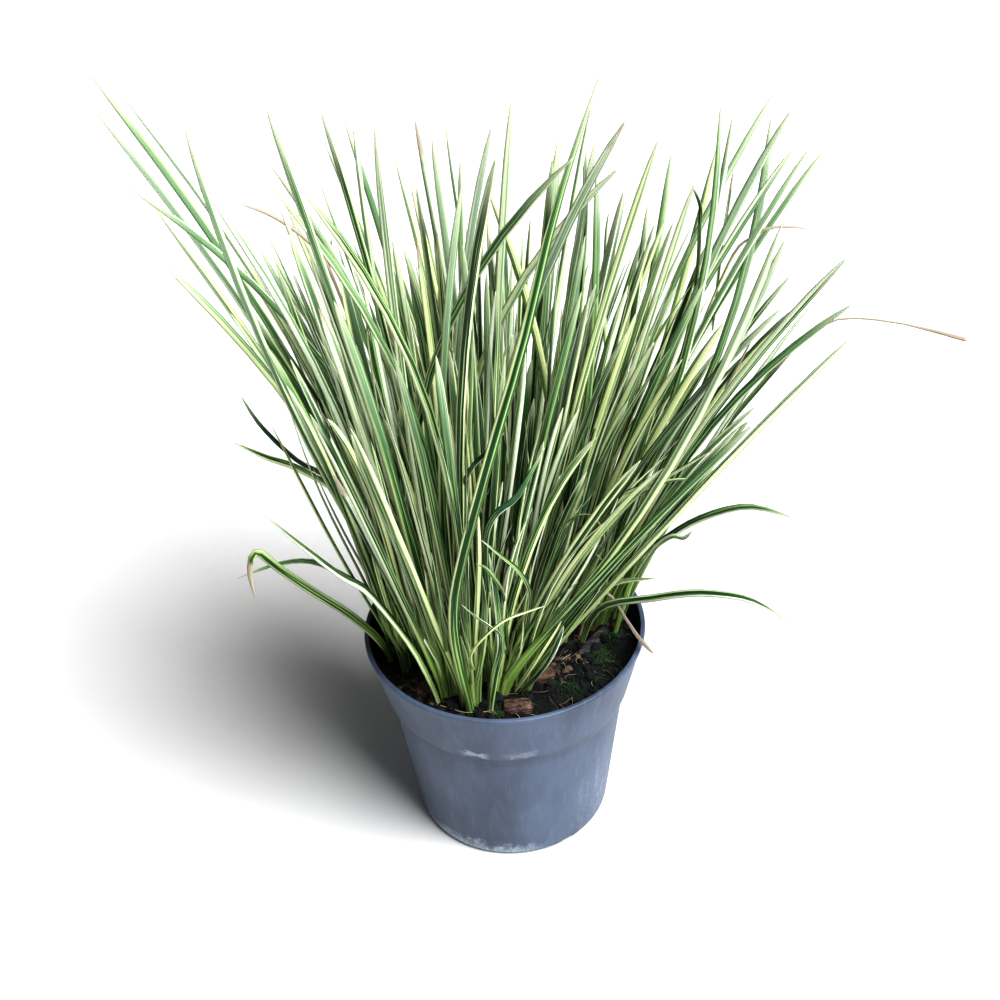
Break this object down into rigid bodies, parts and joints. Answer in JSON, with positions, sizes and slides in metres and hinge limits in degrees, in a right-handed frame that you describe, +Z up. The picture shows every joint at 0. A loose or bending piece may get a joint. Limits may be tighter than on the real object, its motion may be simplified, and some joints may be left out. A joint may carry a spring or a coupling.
{
  "type": "potted variegated sweet flag",
  "caption": "Clump of narrow, cream-edged sword leaves in flat fans, growing from dark soil in a round, tapered plastic nursery pot with a flared collar.",
  "frame": {"origin": "centre of the pot's base, on the face that it stands on", "axes": "+Z up, +X to the right of the front view, +Y away from the front"},
  "size_m": [0.459, 0.32, 0.515],
  "materials": {
    "pot_plastic": "satin, with chalky water marks",
    "soil": "crumbly potting mix",
    "leaf": "green with cream stripes, soft sheen",
    "dry_leaf": "dry and dull",
    "bark": "rough"
  },
  "bodies": {
    "root": {"pot": "pot_plastic", "soil": "soil", "leaf_fan_01": "leaf", "leaf_fan_02": "leaf", "leaf_fan_03": "leaf", "leaf_fan_04": "leaf", "leaf_fan_05": "leaf", "leaf_fan_06": "leaf", "leaf_fan_07": "leaf", "leaf_fan_08": "leaf", "leaf_fan_09": "leaf", "leaf_fan_10": "leaf", "leaf_fan_11": "leaf", "leaf_fan_12": "leaf", "leaf_fan_13": "leaf", "leaf_fan_14": "leaf", "leaf_fan_15": "leaf", "leaf_fan_16": "leaf", "leaf_fan_17": "leaf", "leaf_fan_18": "leaf", "leaf_fan_19": "leaf", "leaf_fan_20": "leaf", "leaf_fan_21": "leaf", "leaf_fan_22": "leaf", "leaf_fan_23": "leaf", "leaf_fan_24": "leaf", "leaf_fan_25": "leaf", "leaf_fan_26": "leaf", "leaf_fan_27": "leaf", "leaf_fan_28": "leaf", "leaf_fan_29": "leaf", "leaf_fan_30": "leaf", "leaf_fan_31": "leaf", "leaf_fan_32": "leaf", "leaf_fan_33": "leaf", "leaf_fan_34": "leaf", "leaf_fan_35": "leaf", "leaf_fan_36": "leaf", "leaf_fan_37": "leaf", "leaf_fan_38": "leaf", "leaf_fan_39": "leaf", "leaf_fan_40": "leaf", "leaf_fan_41": "leaf", "leaf_fan_42": "leaf", "dry_tip_leaf_left": "leaf", "low_leaf_left": "leaf", "drooping_leaf_left": "leaf", "blue_leaf_left": "leaf", "cream_leaf_left": "leaf", "bent_leaf_front": "leaf", "broad_leaf_front": "leaf", "arched_leaf_right": "leaf", "long_leaf_right": "leaf", "short_leaf_right": "leaf", "thread_leaf_right": "leaf", "dead_leaf_on_rim": "dry_leaf", "bark_stick": "bark", "bark_lump_middle": "bark", "bark_lump_front": "bark", "bark_chip": "bark"}
  },
  "joints": []
}
